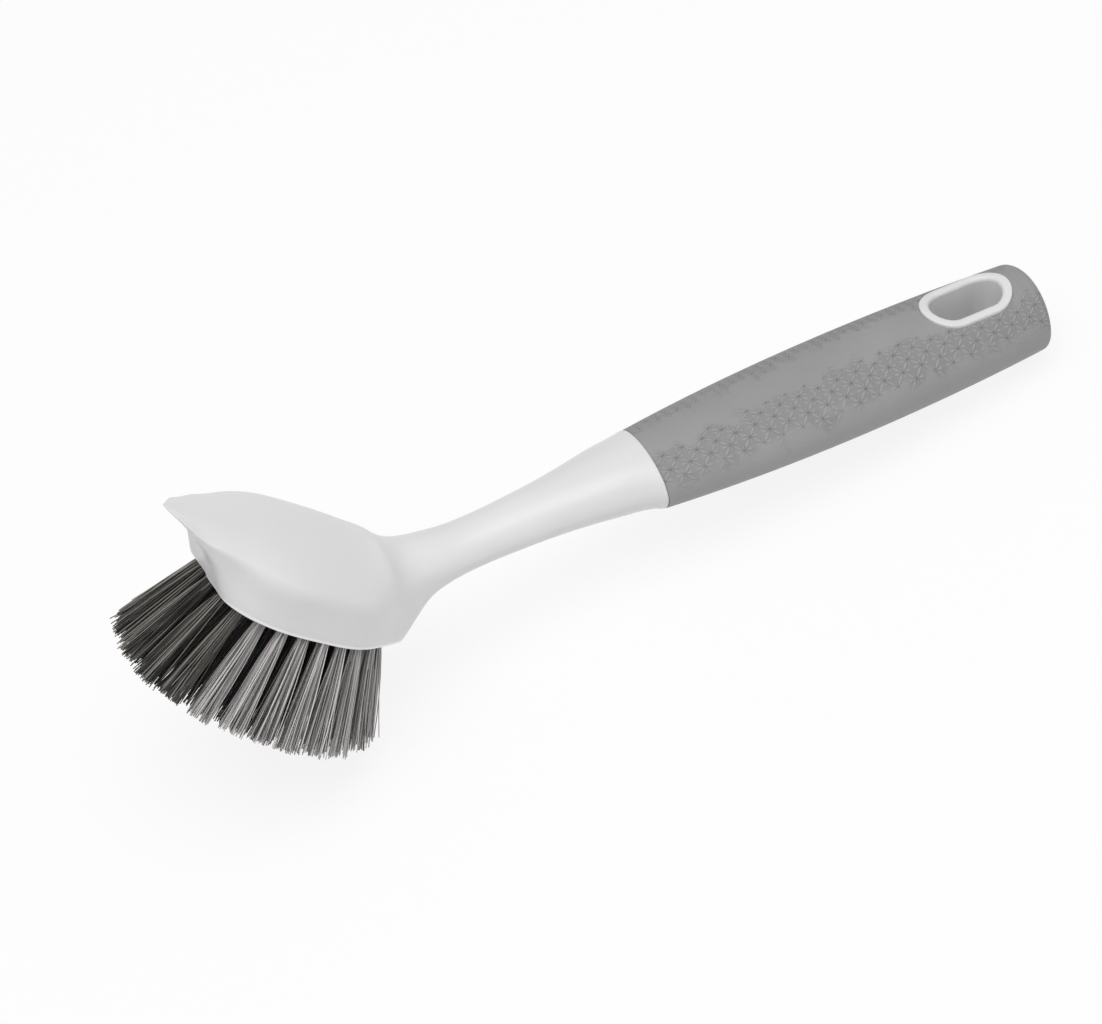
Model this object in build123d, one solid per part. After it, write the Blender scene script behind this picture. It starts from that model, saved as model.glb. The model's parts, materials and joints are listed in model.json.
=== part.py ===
from build123d import *
import os
from math import atan2, cos, degrees, pi, radians, sin, sqrt

os.makedirs("parts", exist_ok=True)

# Dish wand: a white moulded body (head, neck and handle core in one piece), a soft
# grey grip moulded over the core, and a fan of bristle tufts wedged into the head
# by flat metal anchors. All lengths in mm, angles in degrees.
# The brush is drawn with its handle along X: x = 0 is the front edge of the grip,
# the head lies at -x, the tail at +x, and y = 0 is the plane of symmetry. At the
# end it is laid on the table, on its bristle tips and the rim of its hanging hole.

# Grip and handle core
grip_length = 122.6
grip_front_half_width = 14.6
grip_front_half_height = 9.4
grip_belly_half_width = 18.05
grip_tail_half_width = 14.58
grip_tail_half_height = 12.16
grip_wall = 2.0
tail_bulge = 3.3
tail_edge_radius = 2.2
grip_front_radius = 0.4
bond_gap = 0.05
dome_spread = 50.0

# Hanging hole through the tail, a slot with round ends and a white rim
slot_centre_from_tail = 22.25
slot_half_length = 11.0
slot_half_width = 5.95
slot_rim_wall = 2.8
slot_rim_proud = 0.8
slot_edge_radius = 1.2
slot_foot_radius = 0.4

# Neck, from the shoulder against the grip to the waist just behind the head
neck_length = 58.0
shoulder_half_width = 14.8
shoulder_half_height = 9.6
shoulder_edge_radius = 0.5
waist_half_width = 7.9
waist_half_height = 6.5
neck_lift = 1.1

# Head: its rim is the soft crease round the top, in a plane tilted up from the handle
head_tilt = 39.2
head_centre_back = 102.0
head_centre_up = 27.0
head_half_length = 42.0
head_half_width = 23.2
crown_height = 4.2
skirt_depth = 15.0
face_slant = 2.0
face_lip_radius = 0.5

# Bristle face, sized by shares of the head: rings of tufts on a rounded oval
face_back_share = 0.221
face_depth_share = 1.067
face_length_share = 0.683
face_width_share = 0.975
face_ring_power = 2.5
edge_margin = 3.0
ring_pitch = 6.0
front_narrowing_share = 0.25
ring_counts = [24, 18, 11, 3]
ring_names = ["outer", "second", "third", "centre"]

# Tufts: each is a bundle folded over its anchor, its root filling the hole
hole_radius = 1.6
hole_depth = 7.5
root_gap = 0.05
root_stand_out = 0.6
bristle_length = 32.5
fan_height = 62.0
strand_width = 0.52
strands_round = 7
strand_ring_radius = 1.05
tuft_flare = 3.0
tip_trim = 1.6

# Flat metal anchors, wider than the hole so that they bite into the plastic
anchor_width = 3.8
anchor_height = 1.9
anchor_thickness = 0.35
anchor_lift = 0.9
anchor_gap = 0.05

# One overrun for every cutting shape
cut_over = 12.0

# Shapes of the sections, as shares of the sizes above
# swell from waist (0) to shoulder (1), and lift of the neck's axis, from the grip forward
neck_place_shares = [0.0, 0.17, 0.34, 0.52, 0.69, 0.86, 1.0]
neck_swell_shares = [1.0, 0.66, 0.41, 0.19, 0.07, 0.0, 0.03]
neck_lift_shares = [0.0, 1.0, 1.0, 0.85, 0.7, 0.55, 0.5]
# places along the grip, and how far each section swells from the plain taper
grip_place_shares = [0.0, 0.25, 0.5, 0.75, 1.0, 1.04]
grip_belly_shares = [0.0, 0.77, 1.0, 0.74, 0.0, -0.17]
grip_rise_shares = [0.0, 0.55, 0.86, 1.01, 1.0, 0.98]
# the neck's spread into the head: place along the tilted head, crown and underside
# heights as shares of crown height and skirt depth, half-width share of the head's
spread_top_place_shares = [-0.94, -0.82, -0.62]
spread_top_rise_shares = [1.9, 1.135, 1.15]
spread_base_back_shares = [0.635, 0.687, 0.848]
spread_base_drop_shares = [-0.45, -0.5, -0.993]
spread_width_shares = [0.38, 0.43, 0.66]
spread_square_shares = [0.08, 0.35, 0.8]
# the head proper, back to front: place, half-width at the crease, crown, depth, how far
# up each section its crease lies, and the underside's width against the crease's
head_place_shares = [-0.48, -0.19, 0.1, 0.33, 0.48, 0.62, 0.76, 0.88, 0.95, 0.986]
head_width_shares = [0.914, 0.977, 0.967, 0.846, 0.69, 0.57, 0.43, 0.25, 0.1, 0.03]
head_crown_shares = [0.94, 1.09, 1.19, 1.085, 0.93, 0.8, 0.72, 0.715, 0.745, 0.77]
head_depth_shares = [1.4, 1.38, 1.36, 1.28, 0.9, 0.43, 0.143, -0.06, -0.13, -0.172]
head_crease_shares = [0.8, 0.805, 0.81, 0.815, 0.808, 0.72, 0.5, 0.42, 0.4, 0.4]
head_foot_shares = [1.03, 0.98, 0.93, 0.86, 0.79, 0.8, 0.8, 0.84, 0.9, 0.9]
# one half of a section, bottom to top: an oval neck, and a flat-bottomed head that
# rises to its crease by the one list and on to its crown by the other
oval_side_shares = [0.0, 0.38, 0.71, 0.92, 1.0, 0.92, 0.71, 0.38, 0.0]
oval_rise_shares = [0.0, 0.04, 0.15, 0.31, 0.5, 0.69, 0.85, 0.96, 1.0]
block_side_shares = [0.0, 0.5, 0.88, 0.985, 1.0, 0.985, 0.84, 0.45, 0.0]
under_rise_shares = [0.0, 0.0, 0.04, 0.2, 0.55, 0.92]
over_rise_shares = [0.2, 0.78, 1.0]
plain_crease_share = 0.83
# how much each strand of a tuft is cut shorter than the longest, alike on both sides
trim_shares = [0.2, 0.9, 0.0, 0.6, 0.6, 0.0, 0.9, 0.4]

tail_end = grip_length + tail_bulge
slot_x = tail_end - slot_centre_from_tail
tilt = radians(head_tilt)
face_tilt = radians(head_tilt + face_slant)
head_origin = Vector(-head_centre_back, 0, head_centre_up)
head_along = Vector(-cos(tilt), 0, sin(tilt))
head_up = Vector(sin(tilt), 0, cos(tilt))
face_along = Vector(-cos(face_tilt), 0, sin(face_tilt))
face_up = Vector(sin(face_tilt), 0, cos(face_tilt))
face_centre_back = face_back_share * head_half_length
face_depth = face_depth_share * skirt_depth
face_half_length = face_length_share * head_half_length
face_half_width = face_width_share * head_half_width
face_origin = head_origin - head_along * face_centre_back - head_up * face_depth
side_way = Vector(0, 1, 0)
behind_x = (Align.MAX, Align.CENTER, Align.CENTER)
on_base = (Align.CENTER, Align.CENTER, Align.MIN)


def closed_section(top, base, half_width, square_share, foot_share, crease_share):
    """Closed curve through a top and a base point, between an oval and a block that
    turns in at its crease."""
    rise = top - base
    block_rises = [crease_share * share for share in under_rise_shares]
    block_rises += [crease_share + (1 - crease_share) * share for share in over_rise_shares]
    side = []
    for i in range(len(block_rises)):
        out = (1 - square_share) * oval_side_shares[i] + square_share * block_side_shares[i]
        up = (1 - square_share) * oval_rise_shares[i] + square_share * block_rises[i]
        taper = foot_share + (1 - foot_share) * min(1, up / (crease_share * under_rise_shares[-1]))
        side.append((out * half_width * taper, up))
    points = [base + rise * up + side_way * out for out, up in side]
    points += [base + rise * up - side_way * out for out, up in reversed(side[1:-1])]
    return Face(Wire([Edge.make_spline(points, periodic=True)]))


def round_section(top, base, half_width):
    return closed_section(top, base, half_width, 0, 1, plain_crease_share)


def head_point(place, height):
    """Point in the plane of symmetry: along the head's rim plane, and above it."""
    return head_origin + head_along * place + head_up * height


def neck_sections():
    faces = []
    for place, swell, lift in zip(neck_place_shares, neck_swell_shares, neck_lift_shares):
        middle = Vector(-place * neck_length, 0, lift * neck_lift)
        half_height = waist_half_height + swell * (shoulder_half_height - waist_half_height)
        half_width = waist_half_width + swell * (shoulder_half_width - waist_half_width)
        up = Vector(0, 0, half_height)
        faces.append(round_section(middle + up, middle - up, half_width))
    return faces


def spread_sections():
    """The neck widens and its sections turn with the head."""
    faces = []
    for i in range(len(spread_width_shares)):
        top = head_point(
            spread_top_place_shares[i] * head_half_length,
            spread_top_rise_shares[i] * crown_height,
        )
        base = Vector(
            -spread_base_back_shares[i] * head_centre_back,
            0,
            spread_base_drop_shares[i] * skirt_depth,
        )
        width = spread_width_shares[i] * head_half_width
        square_share = spread_square_shares[i]
        faces.append(closed_section(top, base, width, square_share, 1, plain_crease_share))
    return faces


def head_sections():
    faces = []
    for i in range(len(head_place_shares)):
        place = head_place_shares[i] * head_half_length
        top = head_point(place, head_crown_shares[i] * crown_height)
        base = head_point(place, -head_depth_shares[i] * skirt_depth)
        width = head_width_shares[i] * head_half_width
        foot_share = head_foot_shares[i]
        faces.append(closed_section(top, base, width, 1, foot_share, head_crease_shares[i]))
    return faces


def head_and_neck():
    skin = loft(neck_sections() + spread_sections() + head_sections())
    below = Plane(origin=face_origin, x_dir=side_way, z_dir=-face_up)
    reach = 2 * (head_half_length + cut_over)
    head = skin - below * Box(reach, reach, reach, align=on_base)
    face = max(head.faces().filter_by(GeomType.PLANE), key=lambda f: f.area)
    head = fillet(face.outer_wire().edges(), face_lip_radius)
    shoulder = head.faces().sort_by(Axis.X)[-1]
    return fillet(shoulder.edges(), shoulder_edge_radius)


def grip_shape(inset):
    """The grip's outer form, drawn in by inset all round, with its domed tail."""
    faces = []
    for place, belly, rise in zip(grip_place_shares, grip_belly_shares, grip_rise_shares):
        taper = place * (grip_tail_half_width - grip_front_half_width)
        plain = grip_front_half_width + taper
        half_width = plain + belly * (grip_belly_half_width - plain)
        half_height = grip_front_half_height + rise * (grip_tail_half_height - grip_front_half_height)
        middle = Vector(place * grip_length, 0, 0)
        up = Vector(0, 0, half_height - inset)
        faces.append(round_section(middle + up, middle - up, half_width - inset))
    return loft(faces) & domed_bar(inset)


def domed_bar(inset):
    """Round bar with a shallow domed end, that cuts the grip's tail."""
    radius = (grip_tail_half_width ** 2 + tail_bulge ** 2) / (2 * tail_bulge)
    centre = tail_end - radius
    round_end = radius - inset
    turn = radians(dome_spread)
    corner = (centre + round_end * cos(turn), round_end * sin(turn))
    arc = CenterArc((centre, 0), round_end, 0, dome_spread)
    sides = Polyline(corner, (-cut_over, corner[1]), (-cut_over, 0), (centre + round_end, 0))
    outline = [arc, sides]
    return revolve(make_face(outline), Axis.X)


def rim_distance(point):
    """How far a point lies from the slot's middle line, seen along the slot."""
    past = max(0, abs(point.X - slot_x) - (slot_half_length - slot_half_width))
    return sqrt(past ** 2 + point.Y ** 2)


def slot_bar(half_length, half_width):
    """Upright bar with round ends, at the hanging hole."""
    outline = SlotOverall(2 * half_length, 2 * half_width)
    reach = grip_tail_half_height + cut_over
    return Pos(slot_x, 0, -reach) * extrude(outline, 2 * reach)


def slot_rim():
    """White tube through the tail that lines the hanging hole, its edges rounded."""
    outer = slot_bar(slot_half_length + slot_rim_wall, slot_half_width + slot_rim_wall)
    tube = (outer & grip_shape(-slot_rim_proud)) - slot_bar(slot_half_length, slot_half_width)
    middle = slot_half_width + slot_rim_wall / 2
    ends = [edge for edge in tube.edges() if (edge @ 0).Z * (edge @ 1).Z > 0]
    feet = [edge for edge in ends if rim_distance(edge @ 0.5) > middle]
    tube = fillet(feet, slot_foot_radius)
    ends = [edge for edge in tube.edges() if (edge @ 0).Z * (edge @ 1).Z > 0]
    lips = [edge for edge in ends if rim_distance(edge @ 0.5) < middle]
    return fillet(lips, slot_edge_radius)


def ring_places(inset, count):
    """Places evenly round a rounded oval on the bristle face, or along its middle."""
    half_length = face_half_length - edge_margin - inset
    half_width = face_half_width - edge_margin - inset
    if half_width < ring_pitch / 2:
        return [(half_length * (2 * i / (count - 1) - 1), 0) for i in range(count)]
    power = 2 / face_ring_power
    steps = 720
    round_trip = []
    for i in range(steps + 1):
        turn = 2 * pi * i / steps
        along = abs(cos(turn)) ** power * (1 if cos(turn) > 0 else -1)
        across = abs(sin(turn)) ** power * (1 if sin(turn) > 0 else -1)
        narrowing = 1 - front_narrowing_share * max(0, along) ** 2
        round_trip.append((half_length * along, half_width * across * narrowing))
    walked = [0.0]
    for here, there in zip(round_trip, round_trip[1:]):
        walked.append(walked[-1] + sqrt((there[0] - here[0]) ** 2 + (there[1] - here[1]) ** 2))
    places = []
    for k in range(count):
        goal = walked[-1] * k / count
        i = max(j for j in range(steps) if walked[j] <= goal)
        past = (goal - walked[i]) / (walked[i + 1] - walked[i])
        here, there = round_trip[i], round_trip[i + 1]
        places.append(tuple(a + past * (b - a) for a, b in zip(here, there)))
    return places


def tuft_planes(ring):
    """A plane at each hole's mouth, z along the bristles."""
    planes = []
    for along, across in ring_places(ring * ring_pitch, ring_counts[ring]):
        mouth = face_origin + face_along * along + side_way * across
        apex = face_origin + face_up * fan_height
        planes.append(Plane(origin=mouth, x_dir=side_way, z_dir=mouth - apex))
    return planes


def anchor_plate(gap):
    """The flat anchor, its ends pressed into the hole's wall, or with a gap the
    room for it in the folded bundle."""
    width = anchor_width + 2 * gap
    height = anchor_height + 2 * gap
    plate = Box(width, anchor_thickness + 2 * gap, height, align=on_base)
    return Pos(0, 0, anchor_lift - hole_depth - gap) * plate


def strand_ends():
    """Start and tip of each strand of a tuft, from the hole's mouth."""
    ends = []
    for i in range(strands_round + 1):
        radius = strand_ring_radius if i < strands_round else 0
        turn = 2 * pi * i / strands_round
        start = Vector(radius * sin(turn), radius * cos(turn), 0)
        tip = start * tuft_flare + Vector(0, 0, bristle_length - tip_trim * trim_shares[i])
        ends.append((start, tip))
    return ends


def tuft_form():
    """One bundle at the origin: its root round the anchor, strands that spread from it."""
    length = hole_depth - root_gap + root_stand_out
    root = Cylinder(hole_radius - root_gap, length, align=on_base)
    root = Pos(0, 0, root_gap - hole_depth) * root - anchor_plate(anchor_gap)
    strands = []
    for start, tip in strand_ends():
        way = tip - start
        square = Pos(*start) * Rectangle(strand_width, strand_width)
        strands.append(extrude(square, amount=way.length, dir=way.normalized()))
    return root.fuse(*strands)


def build_body(planes):
    slot_outer = slot_bar(slot_half_length + slot_rim_wall, slot_half_width + slot_rim_wall)
    core = grip_shape(grip_wall) - slot_outer
    body = head_and_neck() + core + slot_rim()
    bore = Pos(0, 0, -hole_depth) * Cylinder(hole_radius, hole_depth + cut_over, align=on_base)
    return body.cut(*[plane * bore for plane in planes])


def build_grip():
    outer = grip_shape(0)
    tail_start = grip_length - tail_bulge
    tail = [edge for edge in outer.edges() if (edge @ 0.25).X > tail_start]
    rounded = fillet([edge for edge in tail if edge.geom_type != GeomType.CIRCLE], tail_edge_radius)
    rounded = fillet(rounded.faces().sort_by(Axis.X)[0].edges(), grip_front_radius)
    slot_room = slot_rim_wall + bond_gap
    slot_cut = slot_bar(slot_half_length + slot_room, slot_half_width + slot_room)
    reach = 2 * (grip_belly_half_width + cut_over)
    front = Pos(bond_gap, 0, 0) * Box(reach, reach, reach, align=behind_x)
    return rounded - grip_shape(grip_wall - bond_gap) - slot_cut - front


def rest_turn(planes):
    """Turn about Y that brings the lowest bristle tips level with the hanging hole's rim."""
    foot_x = slot_x + slot_half_length + slot_rim_wall / 2
    foot_drop = grip_tail_half_height + slot_rim_proud
    slopes = []
    for plane in planes:
        for start, end in strand_ends():
            tip = plane.from_local_coords(end)
            drop = tip.Z - strand_width / 2 + foot_drop
            slopes.append(-drop / (foot_x - tip.X))
    return degrees(atan2(max(slopes), 1))


rings = [tuft_planes(ring) for ring in range(len(ring_counts))]
all_planes = [plane for ring in rings for plane in ring]
nodes = {"handle_body": build_body(all_planes), "grip_sleeve": build_grip()}
nodes["tuft_anchors"] = Compound([plane * anchor_plate(0) for plane in all_planes])
one_tuft = tuft_form()
for name, planes in zip(ring_names, rings):
    for number, plane in enumerate(planes, 1):
        nodes[f"tuft_{name}_{number:02d}"] = plane * one_tuft

turn = rest_turn(all_planes)
turned = Rot(0, turn, 0)
nodes = {name: turned * shape for name, shape in nodes.items()}
box = Compound(list(nodes.values())).bounding_box()
shift = Vector(-(box.min.X + box.max.X) / 2, 0, -box.min.Z)
laid = Pos(shift)
for name, shape in nodes.items():
    export_step(laid * shape, f"parts/{name}.step")
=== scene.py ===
import json
from math import cos, pi, radians, sin
from random import Random

import bpy
from mathutils import Matrix, Vector


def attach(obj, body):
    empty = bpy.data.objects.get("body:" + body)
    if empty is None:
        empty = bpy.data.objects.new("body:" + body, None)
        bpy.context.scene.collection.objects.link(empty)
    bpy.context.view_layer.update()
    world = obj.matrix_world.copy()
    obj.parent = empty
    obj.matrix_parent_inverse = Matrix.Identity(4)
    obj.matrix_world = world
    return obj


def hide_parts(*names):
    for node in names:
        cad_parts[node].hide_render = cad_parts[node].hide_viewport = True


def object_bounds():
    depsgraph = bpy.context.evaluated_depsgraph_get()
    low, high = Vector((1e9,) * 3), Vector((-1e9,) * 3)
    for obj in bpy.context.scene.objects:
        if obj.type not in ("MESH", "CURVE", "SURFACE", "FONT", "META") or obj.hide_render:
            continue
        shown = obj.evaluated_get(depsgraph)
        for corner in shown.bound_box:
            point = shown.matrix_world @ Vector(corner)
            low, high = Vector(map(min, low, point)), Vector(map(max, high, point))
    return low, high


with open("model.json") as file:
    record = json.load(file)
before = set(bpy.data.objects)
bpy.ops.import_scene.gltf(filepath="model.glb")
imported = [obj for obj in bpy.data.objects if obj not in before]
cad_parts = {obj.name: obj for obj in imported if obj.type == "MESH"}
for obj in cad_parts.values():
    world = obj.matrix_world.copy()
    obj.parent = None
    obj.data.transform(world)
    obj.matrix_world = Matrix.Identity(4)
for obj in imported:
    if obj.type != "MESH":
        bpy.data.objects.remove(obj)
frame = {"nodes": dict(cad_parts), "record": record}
box_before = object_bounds()

# Sizes in metres. The brush is drawn with its handle along X, then laid down: turned
# about Y until it rests on its bristle tips and the rim of its hanging hole.
rest_turn = radians(7.356522842)
rest_shift = Vector((0.0129261, 0, 0.0278894))
laid_down = Matrix.Translation(rest_shift) @ Matrix.Rotation(rest_turn, 4, "Y")

# The head's rim plane and the slanted bristle face under it
head_tilt = radians(39.2)
face_tilt = radians(41.2)
head_centre = Vector((-0.102, 0, 0.027))
head_along = Vector((-cos(head_tilt), 0, sin(head_tilt)))
head_up = Vector((sin(head_tilt), 0, cos(head_tilt)))
face_along = Vector((-cos(face_tilt), 0, sin(face_tilt)))
face_up = Vector((sin(face_tilt), 0, cos(face_tilt)))
face_back = 0.009282
face_depth = 0.016005
face_centre = head_centre - head_along * face_back - head_up * face_depth

# Rings of tufts, from the outer one in: rounded ovals, narrower toward the front
ring_counts = {"outer": 24, "second": 18, "third": 11, "centre": 3}
outer_half_length = 0.025686
outer_half_width = 0.01962
ring_pitch = 0.006
ring_power = 2.5
front_narrowing = 0.25

# Tufts fan out from a point this far over the face, the inner rings from a lower one
fan_height = 0.062
fan_shares = (1.0, 0.8, 0.9, 1.0)
bristle_length = 0.0317
longer_by = (0.0, 0.0018, 0.0016, 0.0016)
uneven_by = 0.001

# Filaments: the radius of a tuft at its hole and at its tips, and what they lose and lean
filaments_in_tuft = 76
filament_radius = 0.00019
bundle_radius = 0.00145
outer_spread = 0.0032
inner_spread = 0.0041
root_depth = 0.0065
trim = 0.0022
trim_power = 1.6
stray = 0.0026
stray_power = 7.0
least_lean = 0.16
most_bow = 0.0007
golden_turn = 2.39996
points_along = 7
clearance = filament_radius * 1.5

# Stars on the grip: their pitch in a row and from row to row, and the band that they fill
grip_middle = 0.063
grip_radius = 0.0165
star_pitch = 0.006
star_row = 0.003
star_rays = 8
star_sharpness = 1.5
star_full = star_pitch * 0.30
star_end = star_pitch * 0.44
band_height = 0.0118
band_arch = 0.0018
band_ragged = 0.014
band_full = 0.0032
band_end = 0.0088
band_least = 0.04

# The photograph's camera, in the brush's own coordinates as drawn
camera_place = Vector((-0.268342, -0.609466, 0.606082))
camera_back = Vector((-0.268052, -0.682516, 0.679941))
camera_right = Vector((0.885524, -0.452537, -0.105152))
camera_lens = 107.3
camera_sensor = 36

# The studio: what the lamps point at, and how light the room and the floor are
lamp_goal = Vector((0, 0, 0.03))
room_light = 0.46
floor_grey = 0.85
floor_white_share = 0.86
floor_reach = 6.0


def add(tree, kind, inputs=None, **settings):
    """A node of that kind, with its settings and its inputs, which are values or sockets."""
    node = tree.nodes.new(kind)
    for key, value in settings.items():
        setattr(node, key, value)
    for key, value in (inputs or {}).items():
        socket = node.inputs[key]
        if isinstance(value, bpy.types.NodeSocket):
            tree.links.new(value, socket)
        else:
            socket.default_value = value
    return node


def maths(tree, operation, *values):
    node = add(tree, "ShaderNodeMath", dict(enumerate(values)), operation=operation)
    return node.outputs[0]


def vectors(tree, operation, *values):
    inputs = dict(enumerate(values))
    if operation == "SCALE":
        inputs = {0: values[0], 3: values[1]}
    node = add(tree, "ShaderNodeVectorMath", inputs, operation=operation)
    return node.outputs[1 if operation in ("LENGTH", "DOT_PRODUCT") else 0]


def share_between(tree, value, low, high, smooth=False, least=0.0):
    """From 'least' to 1 as the value goes from low to high, which may be the lower number."""
    shape = "SMOOTHSTEP" if smooth else "LINEAR"
    return add(tree, "ShaderNodeMapRange", {"Value": value, "From Min": low, "From Max": high,
               "To Min": least}, interpolation_type=shape).outputs[0]


def around_circle(tree, turn):
    """The place on a circle of radius 1 at that turn."""
    return add(tree, "ShaderNodeCombineXYZ", {"X": maths(tree, "COSINE", turn),
               "Y": maths(tree, "SINE", turn)}).outputs[0]


def ring_places(half_length, half_width, count):
    """Places evenly round a rounded oval on the bristle face, or along its middle."""
    if half_width < ring_pitch / 2:
        return [(half_length * (2 * i / (count - 1) - 1), 0) for i in range(count)]
    steps = 720
    walk = []
    for i in range(steps + 1):
        turn = 2 * pi * i / steps
        along = abs(cos(turn)) ** (2 / ring_power) * (1 if cos(turn) > 0 else -1)
        across = abs(sin(turn)) ** (2 / ring_power) * (1 if sin(turn) > 0 else -1)
        narrowing = 1 - front_narrowing * max(0, along) ** 2
        walk.append(Vector((half_length * along, half_width * across * narrowing)))
    walked = [0.0]
    for here, there in zip(walk, walk[1:]):
        walked.append(walked[-1] + (there - here).length)
    places = []
    for k in range(count):
        goal = walked[-1] * k / count
        i = max(j for j in range(steps) if walked[j] <= goal)
        past = (goal - walked[i]) / (walked[i + 1] - walked[i])
        places.append(tuple(walk[i].lerp(walk[i + 1], past)))
    return places


def tuft_mouths():
    """Name, place, direction and cut length of each tuft at its hole's mouth, laid down."""
    mouths = []
    turned = laid_down.to_3x3()
    uneven = Random(5)
    for ring, (name, count) in enumerate(ring_counts.items()):
        half_length = outer_half_length - ring * ring_pitch
        half_width = outer_half_width - ring * ring_pitch
        for number, (along, across) in enumerate(ring_places(half_length, half_width, count), 1):
            mouth = face_centre + face_along * along + Vector((0, across, 0))
            way = (mouth - face_centre - face_up * fan_height * fan_shares[ring]).normalized()
            length = bristle_length - uneven_by * uneven.random() + longer_by[ring]
            mouths.append((f"tuft_{name}_{number:02d}", laid_down @ mouth, turned @ way, length))
    return mouths


def bristle_tree():
    """Bundles of filaments: from each point a tuft that spreads along its 'way'."""
    tree = bpy.data.node_groups.new("bristle bundles", "GeometryNodeTree")
    face = tree.interface
    face.new_socket("Mouths", in_out="INPUT", socket_type="NodeSocketGeometry")
    for name in ("Filaments", "Seed"):
        face.new_socket(name, in_out="INPUT", socket_type="NodeSocketInt")
    for name in ("Filament radius", "Bundle radius", "Root depth", "Trim", "Stray", "Floor",
                 "Front", "Side"):
        face.new_socket(name, in_out="INPUT", socket_type="NodeSocketFloat")
    face.new_socket("Material", in_out="INPUT", socket_type="NodeSocketMaterial")
    face.new_socket("Bristles", in_out="OUTPUT", socket_type="NodeSocketGeometry")
    given = add(tree, "NodeGroupInput").outputs
    doubled = add(tree, "GeometryNodeDuplicateElements", {"Geometry": given["Mouths"],
                  "Amount": given["Filaments"]}, domain="POINT")
    number = doubled.outputs["Duplicate Index"]
    index = add(tree, "GeometryNodeInputIndex").outputs[0]
    place = add(tree, "GeometryNodeInputPosition").outputs[0]

    def named(name, kind):
        return add(tree, "GeometryNodeInputNamedAttribute", {"Name": name},
                   data_type=kind).outputs["Attribute"]

    def store(geometry, name, value, kind):
        return add(tree, "GeometryNodeStoreNamedAttribute", {"Geometry": geometry, "Name": name,
                   "Value": value}, data_type=kind, domain="POINT").outputs[0]

    def chance(low, high, shift):
        seed = maths(tree, "ADD", given["Seed"], shift)
        node = add(tree, "FunctionNodeRandomValue", {"ID": index, "Seed": seed}, data_type="FLOAT")
        node.inputs[2].default_value = low
        node.inputs[3].default_value = high
        return node.outputs[1]

    way = named("way", "FLOAT_VECTOR")
    cut, streaks, spread = (named(name, "FLOAT") for name in ("cut", "streaks", "spread"))

    # places in the bundle: a sunflower's packing, turned a little for each filament
    share = maths(tree, "DIVIDE", maths(tree, "ADD", number, 0.5), given["Filaments"])
    turn = maths(tree, "ADD", maths(tree, "MULTIPLY", number, golden_turn), chance(-0.3, 0.3, 1))
    ring = vectors(tree, "SCALE", around_circle(tree, turn), maths(tree, "SQRT", share))
    at_mouth = vectors(tree, "SCALE", ring, given["Bundle radius"])

    # the tip: spread, cut length, and a few strays that lean out of their tuft
    lost = maths(tree, "MULTIPLY", given["Trim"], maths(tree, "POWER", chance(0, 1, 2), trim_power))
    length = maths(tree, "SUBTRACT", cut, lost)
    loose = maths(tree, "POWER", chance(0, 1, 3), stray_power)
    lean = maths(tree, "MULTIPLY", given["Stray"], maths(tree, "ADD", loose, least_lean))
    lean_way = around_circle(tree, chance(0, 2 * pi, 4))
    at_tip = vectors(tree, "ADD", vectors(tree, "SCALE", ring, spread),
                     vectors(tree, "SCALE", lean_way, lean))
    bow = vectors(tree, "SCALE", around_circle(tree, chance(0, 2 * pi, 5)), chance(0, most_bow, 6))
    turned = add(tree, "FunctionNodeAlignRotationToVector", {"Vector": way}, axis="Z").outputs[0]

    def laid(vector):
        return add(tree, "FunctionNodeRotateVector", {"Vector": vector, "Rotation": turned}).outputs[0]

    start = vectors(tree, "ADD", place, laid(at_mouth))
    spread_place = vectors(tree, "ADD", place, laid(at_tip))
    tip = vectors(tree, "ADD", spread_place, vectors(tree, "SCALE", way, length))

    # no tip passes the box of the CAD
    parts = add(tree, "ShaderNodeSeparateXYZ", {"Vector": tip}).outputs
    near_side = maths(tree, "MULTIPLY", given["Side"], -1.0)
    across = maths(tree, "MINIMUM", maths(tree, "MAXIMUM", parts["Y"], near_side), given["Side"])
    tip = add(tree, "ShaderNodeCombineXYZ", {"X": maths(tree, "MAXIMUM", parts["X"], given["Front"]),
              "Y": across, "Z": maths(tree, "MAXIMUM", parts["Z"], given["Floor"])}).outputs[0]
    root = vectors(tree, "SUBTRACT", start, vectors(tree, "SCALE", way, given["Root depth"]))

    geometry = doubled.outputs["Geometry"]
    stored = {"root": root, "start": start, "tip": tip, "bow": laid(bow)}
    for name, value in stored.items():
        geometry = store(geometry, name, value, "FLOAT_VECTOR")
    odd = maths(tree, "LESS_THAN", chance(0, 1, 8), streaks)
    for name, value in {"tone": chance(0, 1, 7), "odd": odd}.items():
        geometry = store(geometry, name, value, "FLOAT")

    # one line a filament, bent from its root in the hole, through the mouth, to its tip
    line = add(tree, "GeometryNodeCurvePrimitiveLine", {"End": (0, 0, 0.001)}).outputs[0]
    line = add(tree, "GeometryNodeResampleCurve", {"Curve": line, "Count": points_along}).outputs[0]
    grown = add(tree, "GeometryNodeInstanceOnPoints", {"Points": geometry, "Instance": line}).outputs[0]
    grown = add(tree, "GeometryNodeRealizeInstances", {"Geometry": grown}).outputs[0]
    read = {name: named(name, "FLOAT_VECTOR") for name in stored}
    factor = add(tree, "GeometryNodeSplineParameter").outputs["Factor"]
    first_step = 1 / (points_along - 1)
    inside = share_between(tree, factor, 0.0, first_step)
    beyond = share_between(tree, factor, first_step, 1.0)

    def between(share, here, there):
        node = add(tree, "ShaderNodeMix", data_type="VECTOR")
        for key, value in (("Factor", share), (4, here), (5, there)):
            tree.links.new(value, node.inputs[key])
        return node.outputs[1]

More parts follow.
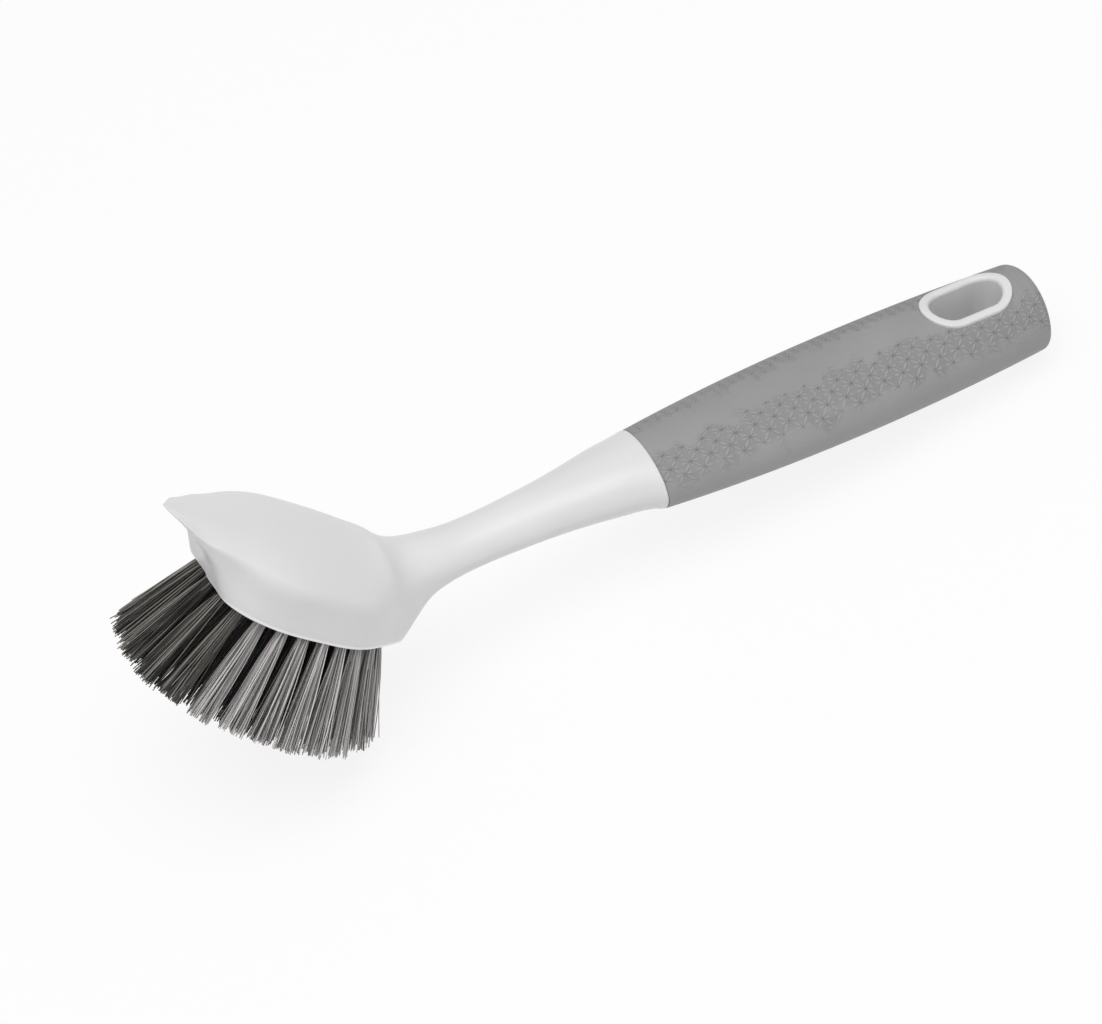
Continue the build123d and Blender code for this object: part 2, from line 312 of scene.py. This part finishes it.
    straight = between(beyond, between(inside, read["root"], read["start"]), read["tip"])
    arch = maths(tree, "MULTIPLY", beyond, maths(tree, "SUBTRACT", 1.0, beyond))
    bent = vectors(tree, "SCALE", read["bow"], maths(tree, "MULTIPLY", arch, 4.0))
    grown = add(tree, "GeometryNodeSetPosition", {"Geometry": grown,
                "Position": vectors(tree, "ADD", straight, bent)}).outputs[0]
    section = add(tree, "GeometryNodeCurvePrimitiveCircle", {"Resolution": 4,
                  "Radius": given["Filament radius"]}, mode="RADIUS").outputs[0]
    mesh = add(tree, "GeometryNodeCurveToMesh", {"Curve": grown, "Profile Curve": section,
               "Fill Caps": True}).outputs[0]
    mesh = add(tree, "GeometryNodeRealizeInstances", {"Geometry": mesh}).outputs[0]
    mesh = add(tree, "GeometryNodeSetMaterial", {"Geometry": mesh,
               "Material": given["Material"]}).outputs[0]
    add(tree, "NodeGroupOutput", {"Bristles": mesh})
    return tree


def grow_bristles(name, mouths, tree, material, seed):
    """One mesh with all tufts of a finish, grown from their mouths."""
    mesh = bpy.data.meshes.new(name + "_mouths")
    mesh.from_pydata([place for _, place, _, _ in mouths], [], [])
    mesh.attributes.new("way", "FLOAT_VECTOR", "POINT")
    for kind in ("cut", "streaks", "spread"):
        mesh.attributes.new(kind, "FLOAT", "POINT")
    for i, (tuft, _, way, length) in enumerate(mouths):
        outer = "outer" in tuft
        mesh.attributes["way"].data[i].vector = way
        mesh.attributes["cut"].data[i].value = length
        mesh.attributes["streaks"].data[i].value = 0.45 if outer and name == "dark_bristles" else 0.1
        mesh.attributes["spread"].data[i].value = outer_spread if outer else inner_spread
    holder = bpy.data.objects.new(name + "_mouths", mesh)
    bpy.context.scene.collection.objects.link(holder)
    grow = holder.modifiers.new("bristles", "NODES")
    grow.node_group = tree
    values = {"Filaments": filaments_in_tuft, "Seed": seed, "Filament radius": filament_radius,
              "Bundle radius": bundle_radius, "Root depth": root_depth, "Trim": trim,
              "Stray": stray, "Floor": clearance, "Front": box_before[0][0] + clearance,
              "Side": box_before[1][1] - clearance, "Material": material}
    for item in tree.interface.items_tree:
        if item.in_out == "INPUT" and item.name in values:
            grow[item.identifier] = values[item.name]
    seen = holder.evaluated_get(bpy.context.evaluated_depsgraph_get())
    grown = bpy.data.meshes.new_from_object(seen)
    holder.modifiers.remove(grow)
    bpy.data.objects.remove(holder)
    for used_up in ("root", "start", "tip", "bow", "way", "cut", "streaks", "spread"):
        if used_up in grown.attributes:
            grown.attributes.remove(grown.attributes[used_up])
    grown.shade_smooth()
    piece = bpy.data.objects.new(name, grown)
    bpy.context.scene.collection.objects.link(piece)
    return piece


def grain_group():
    """Fine moulded grain, slow cloudiness and patches, for every finish of the brush."""
    tree = bpy.data.node_groups.new("moulded grain", "ShaderNodeTree")
    face = tree.interface
    face.new_socket("Place", in_out="INPUT", socket_type="NodeSocketVector")
    for name in ("Grain size", "Cloud size"):
        face.new_socket(name, in_out="INPUT", socket_type="NodeSocketFloat")
    for name in ("Grain", "Cloud", "Patches"):
        face.new_socket(name, in_out="OUTPUT", socket_type="NodeSocketFloat")
    given = add(tree, "NodeGroupInput").outputs
    fine = maths(tree, "DIVIDE", 1.0, given["Grain size"])
    wide = maths(tree, "DIVIDE", 1.0, given["Cloud size"])
    patchy = maths(tree, "MULTIPLY", wide, 5.0)

    def noise(scale, detail, roughness):
        return add(tree, "ShaderNodeTexNoise", {"Vector": given["Place"], "Scale": scale,
                   "Detail": detail, "Roughness": roughness}).outputs["Fac"]

    add(tree, "NodeGroupOutput", {"Grain": noise(fine, 3.0, 0.6), "Cloud": noise(wide, 2.0, 0.5),
        "Patches": noise(patchy, 1.0, 0.5)})
    return tree


def start_material(name, grain, grain_size, cloud_size):
    """A new material with the grain group, and its shader."""
    material = bpy.data.materials.new(name)
    material.use_nodes = True
    tree = material.node_tree
    tree.nodes.clear()
    place = add(tree, "ShaderNodeTexCoord").outputs["Object"]
    group = add(tree, "ShaderNodeGroup", node_tree=grain)
    tree.links.new(place, group.inputs["Place"])
    group.inputs["Grain size"].default_value = grain_size
    group.inputs["Cloud size"].default_value = cloud_size
    shader = add(tree, "ShaderNodeBsdfPrincipled")
    out = add(tree, "ShaderNodeOutputMaterial")
    tree.links.new(shader.outputs[0], out.inputs[0])
    return material, tree, place, group.outputs, shader


def mixed_colour(tree, share, plain, other):
    """From the plain colour to the other one, each a colour or a socket."""
    mix = add(tree, "ShaderNodeMix", data_type="RGBA")
    tree.links.new(share, mix.inputs["Factor"])
    for key, value in ((6, plain), (7, other)):
        if isinstance(value, bpy.types.NodeSocket):
            tree.links.new(value, mix.inputs[key])
        else:
            mix.inputs[key].default_value = (*value, 1)
    return mix.outputs[2]


def clouded(tree, noise, dark, light):
    """Colour between dark and light, as the noise goes."""
    return mixed_colour(tree, share_between(tree, noise, 0.3, 0.7), dark, light)


def clouded_value(tree, noise, low, high):
    return add(tree, "ShaderNodeMapRange", {"Value": noise, "From Min": 0.3, "From Max": 0.7,
               "To Min": low, "To Max": high}).outputs[0]


def raise_surface(tree, shader, height, strength, distance):
    bump = add(tree, "ShaderNodeBump", {"Height": height, "Strength": strength, "Distance": distance})
    tree.links.new(bump.outputs[0], shader.inputs["Normal"])


def grey(level):
    return (level, level, level)


def white_plastic(grain):
    """White moulding, with a painted highlight along the edge round the bristle face."""
    material, tree, place, feel, shader = start_material("white moulded plastic", grain, 0.0006, 0.03)
    plain = clouded(tree, feel["Cloud"], (0.69, 0.69, 0.695), grey(0.72))
    from_face = vectors(tree, "SUBTRACT", place, laid_down @ face_centre)
    over_face = vectors(tree, "DOT_PRODUCT", from_face, laid_down.to_3x3() @ face_up)
    # painted highlight: the wall just over the bristle face is painted lighter, where light catches its
    # rounded edge
    painted_edge_highlight = share_between(tree, over_face, 0.0012, 0.0008, smooth=True)
    tree.links.new(mixed_colour(tree, painted_edge_highlight, plain, grey(0.88)), shader.inputs["Base Color"])
    tree.links.new(clouded_value(tree, feel["Cloud"], 0.3, 0.38), shader.inputs["Roughness"])
    raise_surface(tree, shader, feel["Grain"], 0.12, 0.00005)
    shader.inputs["IOR"].default_value = 1.46
    return material


def star_lattice(tree, place, patches):
    """Staggered rows of eight-ray stars round the grip's sides: height, and where they show."""
    back = laid_down.inverted()
    drawn = add(tree, "ShaderNodeMapping", {"Vector": place, "Location": back.translation,
                "Rotation": back.to_euler()}).outputs[0]
    parts = add(tree, "ShaderNodeSeparateXYZ", {"Vector": drawn}).outputs
    round_about = maths(tree, "ARCTAN2", parts["Z"], maths(tree, "ABSOLUTE", parts["Y"]))
    around = maths(tree, "MULTIPLY", round_about, grip_radius)

    # the nearest star's centre, every other row moved by half a pitch
    row = maths(tree, "ROUND", maths(tree, "DIVIDE", around, star_row))
    shifted = maths(tree, "MULTIPLY_ADD", row, star_pitch / 2, parts["X"])
    star = maths(tree, "ROUND", maths(tree, "DIVIDE", shifted, star_pitch))
    along = maths(tree, "SUBTRACT", shifted, maths(tree, "MULTIPLY", star, star_pitch))
    across = maths(tree, "SUBTRACT", around, maths(tree, "MULTIPLY", row, star_row))
    spot = add(tree, "ShaderNodeCombineXYZ", {"X": along, "Y": across}).outputs[0]
    out = vectors(tree, "LENGTH", spot)
    turn = maths(tree, "MULTIPLY", maths(tree, "ARCTAN2", across, along), star_rays)
    rays = maths(tree, "MULTIPLY_ADD", maths(tree, "COSINE", turn), 0.5, 0.5)
    reach = share_between(tree, out, star_end, star_full, smooth=True)
    rays = maths(tree, "MULTIPLY", maths(tree, "POWER", rays, star_sharpness), reach)

    # the band lies a little higher half way along, and its edges are broken up
    share = maths(tree, "DIVIDE", maths(tree, "SUBTRACT", parts["X"], grip_middle), grip_middle)
    middle = maths(tree, "MULTIPLY_ADD", maths(tree, "MULTIPLY", share, share), -band_arch, band_height)
    ragged = maths(tree, "MULTIPLY_ADD", maths(tree, "SUBTRACT", patches, 0.5), band_ragged, around)
    off = maths(tree, "ABSOLUTE", maths(tree, "SUBTRACT", ragged, middle))
    band = share_between(tree, off, band_end, band_full, smooth=True, least=band_least)
    return rays, band


def grip_rubber(grain):
    """Soft grey grip with the band of stars raised on its sides, their rays given painted light and
    shade.
    """
    material, tree, place, feel, shader = start_material("soft grey grip", grain, 0.0005, 0.025)
    rays, band = star_lattice(tree, place, feel["Patches"])
    plain = clouded(tree, feel["Cloud"], grey(0.28), grey(0.31))
    # painted light and shade: the raised rays are painted lighter and the grooves between them darker
    painted_star_shading = mixed_colour(tree, rays, grey(0.24), grey(0.34))
    tree.links.new(mixed_colour(tree, band, plain, painted_star_shading), shader.inputs["Base Color"])
    tree.links.new(clouded_value(tree, feel["Cloud"], 0.54, 0.64), shader.inputs["Roughness"])
    relief = maths(tree, "MULTIPLY", rays, band)
    raise_surface(tree, shader, maths(tree, "MULTIPLY_ADD", feel["Grain"], 0.15, relief), 0.7, 0.0003)
    return material


def bristle_material(name, grain, dark, light, stranger):
    """Each filament has its own tone, and the odd one is a stranger from the other kind."""
    material, tree, _, feel, shader = start_material(name, grain, 0.0008, 0.004)
    tone = add(tree, "ShaderNodeAttribute", attribute_name="tone").outputs["Fac"]
    odd = add(tree, "ShaderNodeAttribute", attribute_name="odd").outputs["Fac"]
    own = mixed_colour(tree, tone, dark, light)
    tree.links.new(mixed_colour(tree, odd, own, stranger), shader.inputs["Base Color"])
    tree.links.new(clouded_value(tree, feel["Cloud"], 0.4, 0.55), shader.inputs["Roughness"])
    raise_surface(tree, shader, feel["Grain"], 0.1, 0.00003)
    return material


def anchor_metal(grain):
    material, tree, _, feel, shader = start_material("flat anchor wire", grain, 0.0002, 0.003)
    tree.links.new(clouded(tree, feel["Grain"], (0.5, 0.48, 0.44), (0.62, 0.6, 0.56)),
                   shader.inputs["Base Color"])
    tree.links.new(clouded_value(tree, feel["Cloud"], 0.3, 0.45), shader.inputs["Roughness"])
    shader.inputs["Metallic"].default_value = 1.0
    return material


def paint(node, material):
    """Puts the material in the one slot of a CAD node."""
    mesh = frame["nodes"][node].data
    mesh.materials.clear()
    mesh.materials.append(material)


def camera():
    """The photograph's camera: near side, above, a slight roll."""
    data = bpy.data.cameras.new("camera")
    data.lens = camera_lens
    data.sensor_width = camera_sensor
    eye = bpy.data.objects.new("camera", data)
    axes = (camera_right, camera_back.cross(camera_right), camera_back)
    turned = Matrix(axes).transposed().to_4x4()
    eye.matrix_world = laid_down @ Matrix.Translation(camera_place) @ turned
    bpy.context.scene.collection.objects.link(eye)
    bpy.context.scene.camera = eye


def softbox(name, place, size, watts):
    """A rectangular lamp that points at the brush."""
    data = bpy.data.lights.new(name, "AREA")
    data.shape = "RECTANGLE"
    data.size, data.size_y = size
    data.energy = watts
    lamp = bpy.data.objects.new(name, data)
    lamp.location = place
    lamp.rotation_euler = (lamp_goal - Vector(place)).to_track_quat("-Z", "Y").to_euler()
    bpy.context.scene.collection.objects.link(lamp)


def room():
    """The backdrop: white to the camera, softer as a light."""
    world = bpy.data.worlds.new("studio")
    bpy.context.scene.world = world
    world.use_nodes = True
    tree = world.node_tree
    tree.nodes.clear()
    light = add(tree, "ShaderNodeBackground", {"Color": (1, 1, 1, 1), "Strength": room_light})
    seen = add(tree, "ShaderNodeBackground", {"Color": (1, 1, 1, 1), "Strength": 1.0})
    path = add(tree, "ShaderNodeLightPath").outputs["Is Camera Ray"]
    mixed = add(tree, "ShaderNodeMixShader", {0: path, 1: light.outputs[0], 2: seen.outputs[0]})
    out = add(tree, "ShaderNodeOutputWorld")
    tree.links.new(mixed.outputs[0], out.inputs[0])


def pale_floor():
    """Nearly white to the camera and to reflections, but it keeps the brush's shadow."""
    mesh = bpy.data.meshes.new("floor")
    corners = [(-floor_reach, -floor_reach, 0), (floor_reach, -floor_reach, 0),
               (floor_reach, floor_reach, 0), (-floor_reach, floor_reach, 0)]
    mesh.from_pydata(corners, [], [(0, 1, 2, 3)])
    floor = bpy.data.objects.new("floor", mesh)
    bpy.context.scene.collection.objects.link(floor)
    material = bpy.data.materials.new("pale floor")
    material.use_nodes = True
    tree = material.node_tree
    tree.nodes.clear()
    plain = add(tree, "ShaderNodeBsdfDiffuse", {"Color": (*grey(floor_grey), 1)})
    white = add(tree, "ShaderNodeEmission", {"Color": (1, 1, 1, 1), "Strength": 1.0})
    path = add(tree, "ShaderNodeLightPath").outputs
    seen = maths(tree, "MAXIMUM", path["Is Camera Ray"], path["Is Glossy Ray"])
    seen = maths(tree, "MAXIMUM", seen, path["Is Transmission Ray"])
    share = maths(tree, "MULTIPLY", seen, floor_white_share)
    mixed = add(tree, "ShaderNodeMixShader", {0: share, 1: plain.outputs[0], 2: white.outputs[0]})
    out = add(tree, "ShaderNodeOutputMaterial")
    tree.links.new(mixed.outputs[0], out.inputs[0])
    mesh.materials.append(material)
    return floor


grain = grain_group()
finishes = {
    "light_bristle": bristle_material("light bristle", grain, dark=(0.21, 0.2, 0.2),
                                      light=(0.68, 0.65, 0.645), stranger=(0.08, 0.075, 0.07)),
    "dark_bristle": bristle_material("dark bristle", grain, dark=(0.014, 0.014, 0.014),
                                     light=(0.06, 0.057, 0.055), stranger=(0.20, 0.185, 0.165)),
}
paint("handle_body", white_plastic(grain))
paint("grip_sleeve", grip_rubber(grain))
paint("tuft_anchors", anchor_metal(grain))

slots = {part["node"]: part["material_slot"] for part in frame["record"]["subparts"]}
bundles = bristle_tree()
for seed, (finish, material) in enumerate(finishes.items(), 11):
    mouths = [mouth for mouth in tuft_mouths() if slots[mouth[0]] == finish]
    piece = grow_bristles(finish + "s", mouths, bundles, material, seed)
    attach(piece, "root")
    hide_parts(*[name for name, _, _, _ in mouths])

camera()
room()
pale_floor()
softbox("overhead softbox", place=(-0.1, -0.2, 1.3), size=(1.3, 1.0), watts=12.4)
softbox("left softbox", place=(-1.2, -0.7, 0.6), size=(0.9, 0.9), watts=1.0)
softbox("right softbox", place=(0.8, -1.0, 0.6), size=(0.7, 0.7), watts=1.2)
bpy.context.scene.view_settings.view_transform = "Standard"
